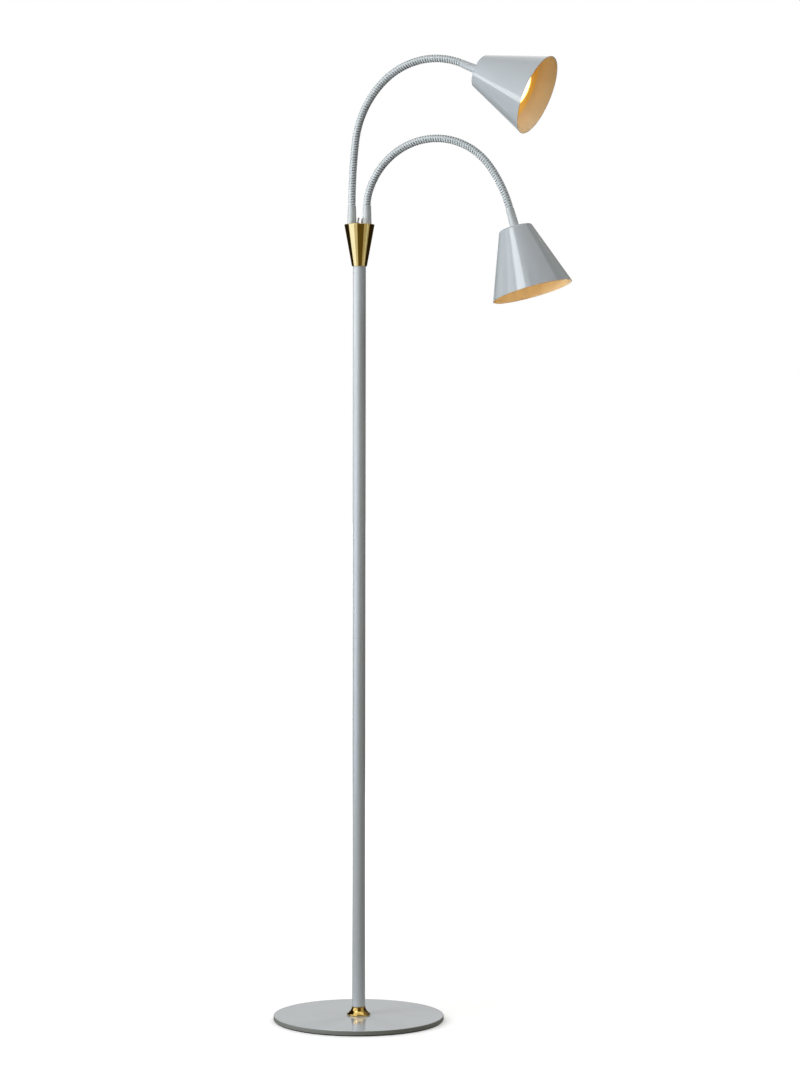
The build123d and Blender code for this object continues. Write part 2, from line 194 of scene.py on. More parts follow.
class LampSizes(bpy.types.PropertyGroup):
    """Sizes that the frame's boxes don't give"""

    round_steps: count("Round steps", "Sides of a large turned piece", 128)
    small_steps: count("Small steps", "Sides of a small turned piece", 64)

    base_top_edge: length("Base edge", "Rounding of the plate's top edge", 0.0012)
    base_bottom_edge: length("Base foot edge", "Rounding of the plate's bottom edge", 0.0005)
    rod_hole: length("Rod hole", "Diameter of the holes that the threaded rods pass", 0.0104)
    recess_diameter: length("Recess", "Diameter of the recess under the plate", 0.027)
    recess_depth: length("Recess depth", "Depth of the recess under the plate", 0.0045)

    collar_bead_height: length("Bead height", "Height of the collar's bead", 0.0026)
    collar_bead_bulge: length("Bead bulge", "How far the bead stands out", 0.0006)
    collar_waist_radius: length("Waist radius", "Collar radius half way up its flare", 0.0119)
    collar_waist_height: length("Waist height", "Height of that radius over the plate", 0.0065)
    collar_bore: length("Collar bore", "Diameter of the hole round the stem", 0.0191)
    collar_lip: length("Collar lip", "Wall at the top of the collar", 0.0005)

    tube_wall: length("Tube wall", "Wall of the stem's tubes", 0.0012)
    tube_edge: length("Tube edge", "Bevel where the two tubes meet", 0.0003)
    inlet_hole: length("Inlet hole", "Diameter of the cord's hole at the back", 0.008)

    cone_foot: length("Cone foot", "Diameter of the cone at its bottom", 0.022)
    cone_mouth: length("Cone top", "Diameter of the cone at its top", 0.0444)
    cone_wall: length("Cone wall", "Wall of the cone", 0.0016)
    cone_web: length("Cone web", "Thickness of the floor that sits on the stem", 0.003)
    cone_rim: length("Cone rim", "Rounding of the cone's top rim", 0.0008)
    cap_ledge: length("Cap ledge", "Width of the ledge that carries the cap", 0.0008)

    nut_knurls: count("Knurls", "Teeth round a switch's ring nut", 32)
    nut_tooth: length("Knurl depth", "Depth of a ring nut's teeth", 0.00025)
    nut_hole: length("Ring nut hole", "Diameter of the hole in a ring nut", 0.0061)
    toggle_lean: angle("Lever lean", "Lean of the switch levers over +X", 12)
    toggle_ball: length("Lever ball", "Diameter of a lever's ball", 0.003)
    toggle_root: length("Lever root", "Diameter of a lever at its ball", 0.0017)
    toggle_tip: length("Lever tip", "Diameter of a lever at its tip", 0.0026)
    toggle_reach: length("Lever reach", "Length of a lever over its pivot", 0.0092)

    ferrule_length: length("Ferrule length", "Length of a gooseneck's socket", 0.028)
    ferrule_wide: length("Ferrule wide end", "Diameter of the socket at its seat", 0.0135)
    ferrule_narrow: length("Ferrule narrow end", "Diameter of the socket at the hose", 0.0117)
    ferrule_edge: length("Ferrule edge", "Rounding of the socket's edges", 0.0004)
    ferrule_thread: length("Ferrule thread", "Depth of the socket's thread", 0.0125)
    ferrule_passage: length("Ferrule passage", "Diameter of the passage for the wires", 0.007)
    ferrule_hose_bore: length("Ferrule hose bore", "Diameter that the hose slips into", 0.0096)

    rib_count: count("Ribs", "Turns of a gooseneck's ribbed length", 84)
    rib_pitch: length("Rib pitch", "Length of one turn", 0.00383)
    hose_crest: length("Hose crest", "Diameter over the ribs", 0.0112)
    hose_root: length("Hose root", "Diameter in the grooves", 0.0094)
    hose_bore: length("Hose bore", "Diameter of the hose's bore", 0.0064)
    hose_steps: count("Hose steps", "Sides of a gooseneck", 32)
    spigot: length("Spigot", "Plain end of a hose inside its ferrule", 0.009)

    upper_rise_radius: length("Upper rise", "Radius of the upper arm's rise", 0.777)
    upper_rise_turn: angle("Upper rise turn", "Turn of the upper arm's rise", 6.9)
    upper_arch_radius: length("Upper arch", "Radius of the upper arm's arch", 0.1396)
    upper_arch_turn: angle("Upper arch turn", "Turn of the upper arm's arch", 39)
    upper_fall_radius: length("Upper fall", "Radius of the upper arm's fall", 0.1126)
    lower_rise_radius: length("Lower rise", "Radius of the lower arm's rise", 0.06)
    lower_rise_turn: angle("Lower rise turn", "Turn of the lower arm's rise", 15.4)
    lower_arch_radius: length("Lower arch", "Radius of the lower arm's arch", 0.1056)
    lower_arch_turn: angle("Lower arch turn", "Turn of the lower arm's arch", 128.4)
    lower_fall_radius: length("Lower fall", "Radius of the lower arm's fall", 0.1976)

    shade_length: length("Shade length", "Length of a shade along its axis", 0.0958)
    shade_top: length("Shade top", "Diameter of a shade at its closed end", 0.0475)
    shade_mouth: length("Shade mouth", "Diameter of a shade at its open end", 0.1172)
    shade_wall: length("Shade wall", "Wall of a shade", 0.001)
    shade_shoulder: length("Shade shoulder", "Rounding of a shade's shoulder", 0.004)

    lamp_seat: length("Lamp seat", "From the shade's top to the lamp's back", 0.02)
    lamp_length: length("Lamp length", "Length of the lamp's glass", 0.052)
    lamp_neck: length("Lamp neck", "Diameter of the lamp's neck", 0.02)
    lamp_neck_length: length("Lamp neck length", "Length of the lamp's neck", 0.01)
    lamp_face: length("Lamp face", "Diameter of the lamp's rim", 0.05)
    lamp_rim: length("Lamp rim", "Height of the lamp's rim", 0.005)
    lamp_glass: length("Lamp glass", "Wall of the lamp's glass", 0.0015)
    lamp_bulge: length("Lamp bulge", "Bulge of the reflector", 0.0015)
    pin_spacing: length("Pin spacing", "Spacing of the lamp's pins", 0.01)
    pin_diameter: length("Pin diameter", "Diameter of the lamp's pins", 0.0048)
    pin_length: length("Pin length", "Length of the lamp's pins", 0.0065)
    lens_diameter: length("Lens diameter", "Diameter of the lamp's lens", 0.046)
    lens_thickness: length("Lens thickness", "Thickness of the lens at its edge", 0.002)
    lens_setback: length("Lens setback", "How far the lens sits behind the rim", 0.0006)


class LampFinishes(bpy.types.PropertyGroup):
    """Colours of the lamp's finishes"""

    # The lamp's one grey enamel, set lighter here than on the shades: that lift is painted light.
    enamel: colour("Enamel", "Glossy paint of base, stem and ferrules", (0.56, 0.59, 0.61))
    # The plate edge's darker olive colour is painted shade on the base's side.
    edge_enamel: colour("Edge enamel", "Duller paint on the plate's edge", (0.31, 0.315, 0.28))
    shade_enamel: colour("Shade enamel", "Glossy paint outside the shades", (0.465, 0.50, 0.53))
    # This paint's warm tint is partly painted lamp light.
    shade_inside: colour("Shade inside", "Paint inside the shades", (0.80, 0.68, 0.48))
    # The amber deep in each shade is painted light: the lamp's amber glow on the wall behind its
    # face.
    shade_painted_amber: colour("Shade gilt", "Gilt inside the shades round the lamp", (0.88, 0.66, 0.20))
    # The hose's grey is lifted above the shades' in the same way, as painted light.
    hose: colour("Hose paint", "Satin paint on the goosenecks", (0.61, 0.65, 0.67))
    # The dark in the grooves is painted shade.
    groove: colour("Hose groove", "Paint and dust deep in the grooves", (0.14, 0.15, 0.155))
    brass: colour("Brass", "Polished brass", (0.86, 0.66, 0.26))
    # The collar's darker, warmer brass is painted shade and painted reflection on the cone's
    # brass.
    collar_brass: colour("Collar brass", "Deeper brass of the collar", (0.76, 0.52, 0.16))
    zinc: colour("Zinc", "Zinc on nuts, rods and plugs", (0.55, 0.56, 0.57))
    chrome: colour("Chrome", "Chrome on the switches", (0.34, 0.31, 0.27))
    foam: colour("Foam", "Pad under the base", (0.02, 0.02, 0.022))
    rubber: colour("Rubber", "Bush of the cord's hole", (0.025, 0.025, 0.027))
    plastic: colour("Plastic", "Bodies of the switches", (0.05, 0.05, 0.052))
    ceramic: colour("Ceramic", "Lampholders", (0.80, 0.78, 0.73))
    reflector: colour("Reflector", "Gold film on the lamps' glass", (0.80, 0.50, 0.12))
    amber: colour("Amber", "Light that the lamps' gold film lets through", (1.0, 0.60, 0.12))
    lit_lens: colour("Lit lens", "Colour of the lit lenses", (1.0, 0.73, 0.38))
    upper_glow: number("Upper glow", "Strength of the upper lamp's lens", 5.0, min=0.0)
    lower_glow: number("Lower glow", "Strength of the lower lamp's lens", 12.8, min=0.0)


# ---------- modelling


def deselect():
    if bpy.context.object and bpy.context.object.mode != "OBJECT":
        bpy.ops.object.mode_set(mode="OBJECT")
    bpy.ops.object.select_all(action="DESELECT")


def activate(piece):
    deselect()
    piece.select_set(True)
    bpy.context.view_layer.objects.active = piece


def edit(piece):
    activate(piece)
    bpy.ops.object.mode_set(mode="EDIT")
    select_all()


def leave_edit():
    bpy.ops.object.mode_set(mode="OBJECT")


def select_all():
    bpy.ops.mesh.select_all(action="SELECT")


def select_where(piece, parts, wanted):
    """Selects the "verts" or "edges" of a piece in edit mode that are wanted, and no others."""
    bpy.ops.mesh.select_all(action="DESELECT")
    mesh = bmesh.from_edit_mesh(piece.data)
    for part in getattr(mesh, parts):
        part.select = wanted(part)
    bmesh.update_edit_mesh(piece.data)


def extrude_up(rise, share, height):
    """Extrudes what is selected up and then widens it by a share about the Z axis."""
    bpy.ops.mesh.extrude_region_move(TRANSFORM_OT_translate={"value": (0, 0, rise)})
    widen(share, height)


def widen(share, height=0.0):
    bpy.ops.transform.resize(value=(share, share, 1), center_override=(0, 0, height))


def turn_normals_out():
    select_all()
    bpy.ops.mesh.normals_make_consistent(inside=False)


def at_radius(corner, radius):
    return abs(corner.co.xy.length - radius) < SAME_PLACE


def at_height(corner, height):
    return abs(corner.co.z - height) < SAME_PLACE


def arc(start, via, end, steps):
    """Points on the circle through three points, from the first to the last."""
    (ax, ay), (bx, by), (cx, cy) = start, via, end
    double = 2 * (ax * (by - cy) + bx * (cy - ay) + cx * (ay - by))
    a, b, c = ax * ax + ay * ay, bx * bx + by * by, cx * cx + cy * cy
    x = (a * (by - cy) + b * (cy - ay) + c * (ay - by)) / double
    y = (a * (cx - bx) + b * (ax - cx) + c * (bx - ax)) / double
    first = math.atan2(ay - y, ax - x)
    turn = math.remainder(math.atan2(cy - y, cx - x) - first, math.tau)
    half = math.remainder(math.atan2(by - y, bx - x) - first, math.tau)
    if half * turn < 0:
        turn -= math.copysign(math.tau, turn)
    radius = math.hypot(ax - x, ay - y)
    angles = [first + turn * step / steps for step in range(steps + 1)]
    return [(x + radius * math.cos(t), y + radius * math.sin(t)) for t in angles]


def turned(name, rings, steps, solid=False):
    """Turns a piece on the Z axis: a circle is extruded and resized from ring to ring.

    Rings are (radius, height). The outline closes on its first ring, or a solid piece is
    closed at its two ends.
    """
    deselect()
    radius, height = rings[0]
    bpy.ops.mesh.primitive_circle_add(
        vertices=steps, radius=radius, location=(0, 0, height), fill_type="NOTHING"
    )
    piece = bpy.context.object
    piece.name = piece.data.name = name
    bpy.ops.object.transform_apply(location=True)
    edit(piece)
    for next_radius, next_height in rings[1:] if solid else rings[1:] + rings[:1]:
        extrude_up(next_height - height, next_radius / radius, next_height)
        radius, height = next_radius, next_height
    select_all()
    bpy.ops.mesh.remove_doubles(threshold=SAME_PLACE / 10)
    if solid:
        select_all()
        bpy.ops.mesh.fill_holes(sides=0)
    turn_normals_out()
    leave_edit()
    return piece


def round_rings(piece, places, width, segments=3):
    """Rounds the ring edges that run at these (radius, height) places."""

    def at_a_place(edge):
        return any(
            all(at_radius(corner, radius) and at_height(corner, height) for corner in edge.verts)
            for radius, height in places
        )

    edit(piece)
    bpy.ops.mesh.select_mode(type="EDGE")
    select_where(piece, "edges", at_a_place)
    bpy.ops.mesh.bevel(offset=width, segments=segments, affect="EDGES")
    bpy.ops.mesh.select_mode(type="VERT")
    leave_edit()


def unwrap_turned(piece):
    """UV map of a turned piece: u goes round it once, v is the height in metres."""
    layer = piece.data.uv_layers.new(name="turned")
    corners = piece.data.vertices
    for face in piece.data.polygons:
        turns = []
        for index in face.vertices:
            x, y, z = corners[index].co
            turns.append(math.atan2(y, x) / math.tau)
        if max(turns) - min(turns) > 0.5:
            turns = [turn + 1 if turn < 0 else turn for turn in turns]
        for loop, index, turn in zip(face.loop_indices, face.vertices, turns):
            layer.data[loop].uv = (turn, corners[index].co.z)


def place(piece, seat=(0, 0, 0), lean=0.0):
    """Leans a piece modelled upright over +X, moves it to its seat and applies both."""
    activate(piece)
    piece.rotation_euler = (0, lean, 0)
    piece.location = seat
    bpy.ops.object.transform_apply(location=True, rotation=True, scale=True)


def dress(piece, *materials):
    piece.data.materials.clear()
    for material in materials:
        piece.data.materials.append(material)


def finish_piece(piece, finish, body, nodes, smooth=35):
    """Paints and shades a piece, ties it to its body and hides the frame's nodes that it stands
    for.
    """
    if finish:
        dress(piece, FINISHES[finish])
    activate(piece)
    bpy.ops.object.shade_smooth_by_angle(angle=math.radians(smooth))
    if body:
        apply_modifier(piece, "WEIGHTED_NORMAL", keep_sharp=True)
        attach(piece, body)
    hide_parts(*nodes)
    deselect()


def apply_modifier(piece, kind, **settings):
    activate(piece)
    modifier = piece.modifiers.new(kind.title(), kind)
    for name, value in settings.items():
        setattr(modifier, name, value)
    bpy.ops.object.modifier_apply(modifier=modifier.name)


# ---------- arms


def beside(heading):
    """Direction to the right of a heading, which is an angle from up towards +X."""
    return Vector((math.cos(heading), 0, -math.sin(heading)))


def ahead(heading):
    return Vector((math.sin(heading), 0, math.cos(heading)))


def arm_bends(sizes, arm):
    """The three bends of an arm as (radius, turn). The fall uses up the ribbed length."""
    rise = (getattr(sizes, f"{arm}_rise_radius"), getattr(sizes, f"{arm}_rise_turn"))
    arch = (getattr(sizes, f"{arm}_arch_radius"), getattr(sizes, f"{arm}_arch_turn"))
    fall_radius = getattr(sizes, f"{arm}_fall_radius")
    used = rise[0] * rise[1] + arch[0] * arch[1]
    rest = sizes.rib_count * sizes.rib_pitch - used
    return [rise, arch, (fall_radius, rest / fall_radius)]


def arm_stations(sizes, arm):
    """Places, headings and the reach of the handles along an arm, spigots included."""
    foot = middle(f"{arm}_base_ferrule")
    spot = Vector((foot.x, 0, top_z(f"{arm}_base_ferrule")))
    heading = 0.0
    third = sizes.spigot / 3
    stations = [(spot - ahead(0) * sizes.spigot, heading, third, third)]
    before = third
    for radius, turn in arm_bends(sizes, arm):
        parts = math.ceil(turn / LONGEST_BEND)
        step = turn / parts
        handle = radius * math.tan(step / 4) * 4 / 3
        for _ in range(parts):
            stations.append((spot, heading, before, handle))
            centre = spot + beside(heading) * radius
            heading += step
            spot = centre - beside(heading) * radius
            before = handle
    stations.append((spot, heading, before, third))
    stations.append((spot + ahead(heading) * sizes.spigot, heading, third, third))
    return stations


def shade_seat(sizes, arm):
    """Middle of the shade's top and the heading of its axis."""
    spot, heading = arm_stations(sizes, arm)[-2][:2]
    return spot + ahead(heading) * sizes.ferrule_length, heading


def arm_curve(sizes, arm):
    """Curve along an arm's centre line, for the hose to be bent on."""
    stations = arm_stations(sizes, arm)
    curve = bpy.data.curves.new(f"{arm}_route", "CURVE")
    curve.dimensions = "3D"
    curve.resolution_u = 48
    spline = curve.splines.new("BEZIER")
    spline.bezier_points.add(len(stations) - 1)
    for point, (spot, heading, before, after) in zip(spline.bezier_points, stations):
        point.handle_left_type = point.handle_right_type = "FREE"
        point.co = spot
        point.handle_left = spot - ahead(heading) * before
        point.handle_right = spot + ahead(heading) * after
    route = bpy.data.objects.new(f"{arm}_route", curve)
    bpy.context.scene.collection.objects.link(route)
    return route


# ---------- finishes


class Wiring:
    """Shader nodes that are added and wired one call at a time."""

    def __init__(self, tree):
        self.nodes, self.links = tree.nodes, tree.links

    def add(self, kind, settings=None, **inputs):
        """Adds a node. Inputs are named with _ for a space; a socket given is linked."""
        node = self.nodes.new(kind)
        for name, value in (settings or {}).items():
            setattr(node, name, value)
        self.wire(node, **inputs)
        return node

    def wire(self, node, **inputs):
        for name, value in inputs.items():
            self.feed(node.inputs[name.replace("_", " ")], value)

    def feed(self, socket, value):
        if isinstance(value, bpy.types.NodeSocket):
            self.links.new(value, socket)
        else:
            socket.default_value = value

    def ranged(self, value, low, high, to_low=0.0, to_high=1.0):
        """Goes from to_low to to_high as the value goes from low to high, and stops there."""
        spans = {"From_Min": low, "From_Max": high, "To_Min": to_low, "To_Max": to_high}
        return self.add("ShaderNodeMapRange", Value=value, **spans).outputs["Result"]

    def calculated(self, operation, first, second):
        node = self.add("ShaderNodeMath", {"operation": operation})
        self.feed(node.inputs[0], first)
        self.feed(node.inputs[1], second)
        return node.outputs[0]

    def mixed(self, share, first, second):
        """The first colour where the share is 0 and the second where it is 1."""
        node = self.add("ShaderNodeMix", {"data_type": "RGBA"}, Factor=share)
        self.feed(node.inputs[MIX_A], first)
        self.feed(node.inputs[MIX_B], second)
        return node.outputs[MIX_RESULT]


class Finish(Wiring):
    """A material round one Principled shader."""

    def __init__(self, name):
        self.material = bpy.data.materials.new(name)
        self.material.use_nodes = True
        super().__init__(self.material.node_tree)
        self.shader = self.nodes["Principled BSDF"]
        self.place = self.add("ShaderNodeTexCoord").outputs["Object"]

    def set(self, **inputs):
        self.wire(self.shader, **inputs)

    def noise(self, scale, detail=2.0, where=None, stretch=(1, 1, 1)):
        """Noise of a scale in features a metre, stretched along the axes."""
        spread = self.add("ShaderNodeMapping", Vector=where or self.place, Scale=stretch)
        texture = self.add(
            "ShaderNodeTexNoise", Vector=spread.outputs["Vector"], Scale=scale, Detail=detail
        )
        return texture.outputs["Fac"]

    def turned_map(self):
        return self.add("ShaderNodeUVMap", {"uv_map": "turned"}).outputs["UV"]

    def between(self, clouds, low, high):
        return self.ranged(clouds, *CLOUD_SPAN, low, high)

    def toned(self, share, paint, dark, light, low=CLOUD_SPAN[0], high=CLOUD_SPAN[1]):
        """The paint times dark to the paint times light as the share goes from low to high."""
        ramp = self.add("ShaderNodeValToRGB", Fac=share)
        stops = ((low, dark), (high, light))
        for stop, (position, factor) in zip(ramp.color_ramp.elements, stops):
            stop.position = position
            stop.color = (*(min(1.0, part * factor) for part in paint), 1)
        return ramp.outputs["Color"]

    def bump(self, height, distance, strength=1.0):
        node = self.add("ShaderNodeBump", Height=height, Distance=distance, Strength=strength)
        self.set(Normal=node.outputs["Normal"])


def enamel(name, paint, roughness=0.16):
    """Sprayed glossy enamel: faint orange peel, faint clouds of tone and gloss."""
    finish = Finish(name)
    clouds = finish.noise(14.0, detail=3.0)
    peel = finish.noise(650.0, detail=1.0)
    finish.set(
        Base_Color=finish.toned(clouds, paint, 0.975, 1.025),
        Roughness=finish.between(clouds, roughness * 0.85, roughness * 1.15),
        Coat_Weight=1.0,
        Coat_Roughness=0.05,
    )
    finish.bump(peel, 0.000008, strength=0.25)
    return finish.material


def shade_inside_paint(name, paint, painted_amber):
    """Cream paint inside a shade with faint spray grain; its warm tint is partly painted lamp
    light, and the amber round the lamp is painted light.
    """
    finish = Finish(name)
    grain = finish.noise(500.0, detail=2.0)
    clouds = finish.noise(30.0, detail=2.0)
    height = finish.add("ShaderNodeSeparateXYZ", Vector=finish.turned_map()).outputs["Y"]
    # Pale paint whose warm tint is partly painted lamp light.
    cream_and_lamp_glow = finish.toned(clouds, paint, 0.95, 1.03)
    finish.set(
        # Painted amber light deep in the shade round the lamp, plain paint towards the mouth.
        Base_Color=finish.mixed(finish.ranged(height, *PAINTED_AMBER_EDGE), (*painted_amber, 1), cream_and_lamp_glow),
        Roughness=finish.between(grain, 0.32, 0.42),
        Coat_Weight=0.5,
        Coat_Roughness=0.06,
    )
    finish.bump(grain, 0.00002, strength=0.5)
    return finish.material


def hose_paint(name, paint, groove):
    """Satin paint on the ribs, darkened by painted shade towards the bottom of the grooves."""
    finish = Finish(name)
    depth = finish.add("ShaderNodeAttribute", {"attribute_name": "groove"}).outputs["Fac"]
    clouds = finish.noise(60.0, detail=3.0)
    crest = finish.toned(clouds, paint, 0.94, 1.06)
    finish.set(
        # Painted shade: the paint darkens towards the bottom of the grooves.
        Base_Color=finish.mixed(finish.ranged(depth, *GROOVE_SHADE_EDGE), crest, (*groove, 1)),
        Roughness=finish.between(clouds, 0.26, 0.34),
        Coat_Weight=0.3,
        Coat_Roughness=0.12,
    )
    finish.bump(finish.noise(900.0, detail=1.0), 0.00001, strength=0.3)
    return finish.material


def turned_brass(name, metal):
    """Polished brass with the fine lines of the lathe and faint tarnish."""
    finish = Finish(name)
    lines = finish.noise(1.0, detail=1.0, where=finish.turned_map(), stretch=(6, 4200, 1))
    tarnish = finish.noise(45.0, detail=3.0)
    finish.set(
        Base_Color=finish.toned(tarnish, metal, 0.93, 1.04),
        Metallic=1.0,
        Roughness=finish.between(tarnish, 0.05, 0.09),
    )
    finish.bump(lines, 0.0000006, strength=0.5)
    return finish.material


def plain_metal(name, metal, roughness, grain):
    """Plated or plain metal with fine grain."""
    finish = Finish(name)
    speckle = finish.noise(grain, detail=2.0)
    finish.set(
        Base_Color=finish.toned(speckle, metal, 0.92, 1.06),
        Metallic=1.0,
        Roughness=finish.between(speckle, roughness * 0.8, roughness * 1.2),
    )
    finish.bump(speckle, 0.00001, strength=0.4)
    return finish.material


def moulded(name, paint, roughness, grain, depth):
    """Moulded, foamed or glazed stuff with a grain of its own."""
    finish = Finish(name)
    pores = finish.noise(grain, detail=3.0)
    finish.set(
        Base_Color=finish.toned(pores, paint, 0.8, 1.15),
        Roughness=finish.between(pores, roughness * 0.85, min(1.0, roughness * 1.15)),
    )
    finish.bump(pores, depth)
    return finish.material


def gold_glass(name, film, glow):
    """Gold film on the lamp's pressed glass, with some of the lamp's light through it."""
    finish = Finish(name)
    ripple = finish.noise(260.0, detail=2.0)
    finish.set(
        Base_Color=finish.toned(ripple, film, 0.85, 1.1),
        Metallic=0.7,
        Roughness=finish.between(ripple, 0.16, 0.28),
        Coat_Weight=0.7,
        Coat_Roughness=0.05,
        Emission_Color=(*glow, 1),
        Emission_Strength=FILM_GLOW,
    )
    finish.bump(ripple, 0.00008, strength=0.6)
    return finish.material


def lit_lens(name, tint, glow):
    """Pearled lens with the light of the lamp behind it."""
    finish = Finish(name)
    pearls = finish.add("ShaderNodeTexVoronoi", Vector=finish.place, Scale=420.0)
    edge = pearls.outputs["Distance"]
    finish.set(
        Base_Color=finish.toned(edge, tint, 0.9, 1.0, 0.0, 1.0),
        Roughness=finish.between(edge, 0.2, 0.3),
        Emission_Color=finish.toned(edge, tint, 1.0, 0.93, 0.0, 1.0),
        Emission_Strength=glow,
    )
    finish.bump(edge, 0.0002, strength=0.5)
    return finish.material


def make_finishes(colours):
    """Every material, by the name that the pieces ask for."""
    finishes = {
        "enamel": enamel("enamel", colours.enamel),
        # Painted shade: a darker copy of the enamel for the plate's side.
        "edge_enamel": enamel("edge_enamel", colours.edge_enamel, roughness=0.4),
        "shade_enamel": enamel("shade_enamel", colours.shade_enamel),
        "shade_inside": shade_inside_paint(
            "shade_inside", colours.shade_inside, colours.shade_painted_amber
        ),
        "hose": hose_paint("hose_paint", colours.hose, colours.groove),
        "brass": turned_brass("turned_brass", colours.brass),
        # Painted shade: the collar gets a darker, warmer copy of the brass.
        "collar_brass": turned_brass("collar_brass", colours.collar_brass),
        "cap_brass": plain_metal("cap_brass", colours.brass, roughness=0.2, grain=700.0),
        "reflector": gold_glass("gold_glass", colours.reflector, colours.amber),
        "upper_lens": lit_lens("upper_lit_lens", colours.lit_lens, colours.upper_glow),
        "lower_lens": lit_lens("lower_lit_lens", colours.lit_lens, colours.lower_glow),
    }
    for make, table in ((plain_metal, PLATED), (moulded, MOULDED)):
        for name, texture in table.items():
            finishes[name] = make(name, getattr(colours, name), *texture)
    return finishes


# ---------- operators


class LAMP_OT_base(bpy.types.Operator):
    """Model the round base plate with its rounded edge and the recess under it"""

    bl_idname = "lamp.base"
    bl_label = "Base plate"

    def execute(self, context):
        sizes = context.scene.lamp_sizes
        low, high = ends_z("base_plate")
        edge = across("base_plate") / 2
        hole, recess = sizes.rod_hole / 2, sizes.recess_diameter / 2
        ceiling = low + sizes.recess_depth
        rings = [(hole, high), (edge, high), (edge, low)]
        rings += [(recess, low), (recess, ceiling), (hole, ceiling)]
        plate = turned("base_plate_paint", rings, sizes.round_steps * 2)
        round_rings(plate, [(edge, high)], sizes.base_top_edge, segments=5)
        round_rings(plate, [(edge, low)], sizes.base_bottom_edge, segments=2)
        dress(plate, FINISHES["enamel"], FINISHES["edge_enamel"])
        # Side faces take the darker colour, painted shade on the plate's edge.
        for face in plate.data.polygons:
            face.material_index = 1 if abs(face.normal.z) < 0.5 else 0
        finish_piece(plate, None, "stand", ["base_plate"])
        return {"FINISHED"}


class LAMP_OT_collar(bpy.types.Operator):
    """Model the brass collar: a bead on the plate and a flare up to the stem"""

    bl_idname = "lamp.collar"
    bl_label = "Collar"

    def execute(self, context):
        sizes = context.scene.lamp_sizes
        low, high = ends_z("base_collar")
        bore = sizes.collar_bore / 2
        bead = across("base_collar") / 2 - sizes.collar_bead_bulge
        bead_top = low + sizes.collar_bead_height
        bulge = (bead + sizes.collar_bead_bulge, (low + bead_top) / 2)
        waist = (sizes.collar_waist_radius, low + sizes.collar_waist_height)
        rings = arc((bead, low), bulge, (bead, bead_top), steps=8)
        rings += arc((bead, bead_top), waist, (bore + sizes.collar_lip, high), steps=14)[1:]
        rings += [(bore, high), (bore, low)]
        collar = turned("base_collar_brass", rings, sizes.small_steps)
        unwrap_turned(collar)
        finish_piece(collar, "collar_brass", "stand", ["base_collar"])
        return {"FINISHED"}


def open_inlet(tube, sizes):
    """Bores the cord's hole through the back wall."""
    inlet = middle("cord_inlet")
    outer = across("lower_tube") / 2
    deselect()
    bpy.ops.mesh.primitive_cylinder_add(
        vertices=sizes.small_steps // 2,
        radius=sizes.inlet_hole / 2,
        depth=outer,
        location=(inlet.x, outer, inlet.z),
        rotation=(math.radians(90), 0, 0),
    )
    drill = bpy.context.object
    apply_modifier(tube, "BOOLEAN", object=drill, operation="DIFFERENCE", solver="EXACT")
    bpy.data.objects.remove(drill)


class LAMP_OT_stem(bpy.types.Operator):
    """Model the two tubes of the stem, with the fine line where they meet"""

    bl_idname = "lamp.stem"
    bl_label = "Stem"

    def execute(self, context):
        sizes = context.scene.lamp_sizes
        for node, joint_z in (
            ("lower_tube", top_z("lower_tube")),
            ("upper_tube", bottom_z("upper_tube")),
        ):
            low, high = ends_z(node)
            outer = across(node) / 2
            inner = outer - sizes.tube_wall
            rings = [(inner, low), (outer, low), (outer, high), (inner, high)]
            tube = turned(f"{node}_paint", rings, sizes.small_steps)
            round_rings(tube, [(outer, joint_z)], sizes.tube_edge, segments=2)
            if node == "lower_tube":
                open_inlet(tube, sizes)
            finish_piece(tube, "enamel", "stand", [node])
        return {"FINISHED"}


class LAMP_OT_cone(bpy.types.Operator):
    """Model the hollow brass cone on top of the stem"""

    bl_idname = "lamp.cone"
    bl_label = "Brass cone"

    def execute(self, context):
        sizes = context.scene.lamp_sizes
        low, high = ends_z("head_cone")
        stem_top = top_z("upper_tube")
        floor = stem_top + sizes.cone_web
        ledge = bottom_z("cone_cap")
        slope = (sizes.cone_mouth - sizes.cone_foot) / 2 / (high - low)

        def outer(height):
            return sizes.cone_foot / 2 + slope * (height - low)

        socket = sizes.collar_bore / 2
        cap_seat = outer(ledge) - sizes.cone_wall + sizes.cap_ledge
        wall, hole = sizes.cone_wall, sizes.rod_hole / 2
        rings = [(socket, low), (outer(low), low), (outer(high), high), (cap_seat, high)]
        rings += [(cap_seat, ledge), (outer(ledge) - wall, ledge), (outer(floor) - wall, floor)]
        rings += [(hole, floor), (hole, stem_top), (socket, stem_top)]
        cone = turned("head_cone_brass", rings, sizes.round_steps)
        round_rings(cone, [(outer(high), high)], sizes.cone_rim, segments=4)
        round_rings(cone, [(outer(low), low)], sizes.tube_edge, segments=2)
        unwrap_turned(cone)
        finish_piece(cone, "brass", "stand", ["head_cone"])
        return {"FINISHED"}


def add_ring_nut(sizes, side):
    low, high = ends_z("switch_nuts")
    low_corner, high_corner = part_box("switch_nuts")
    outer = (high_corner.x - low_corner.x) / 2
    hole = sizes.nut_hole / 2
    rings = [(hole, low), (outer, low), (outer, high), (hole, high)]
    nut = turned(f"{side}_ring_nut", rings, sizes.nut_knurls * 2)
    cut_knurls(nut, outer, sizes.nut_tooth)
    place(nut, (0, middle(f"{side}_switch").y, 0))
    finish_piece(nut, "chrome", "stand", ["switch_nuts"])


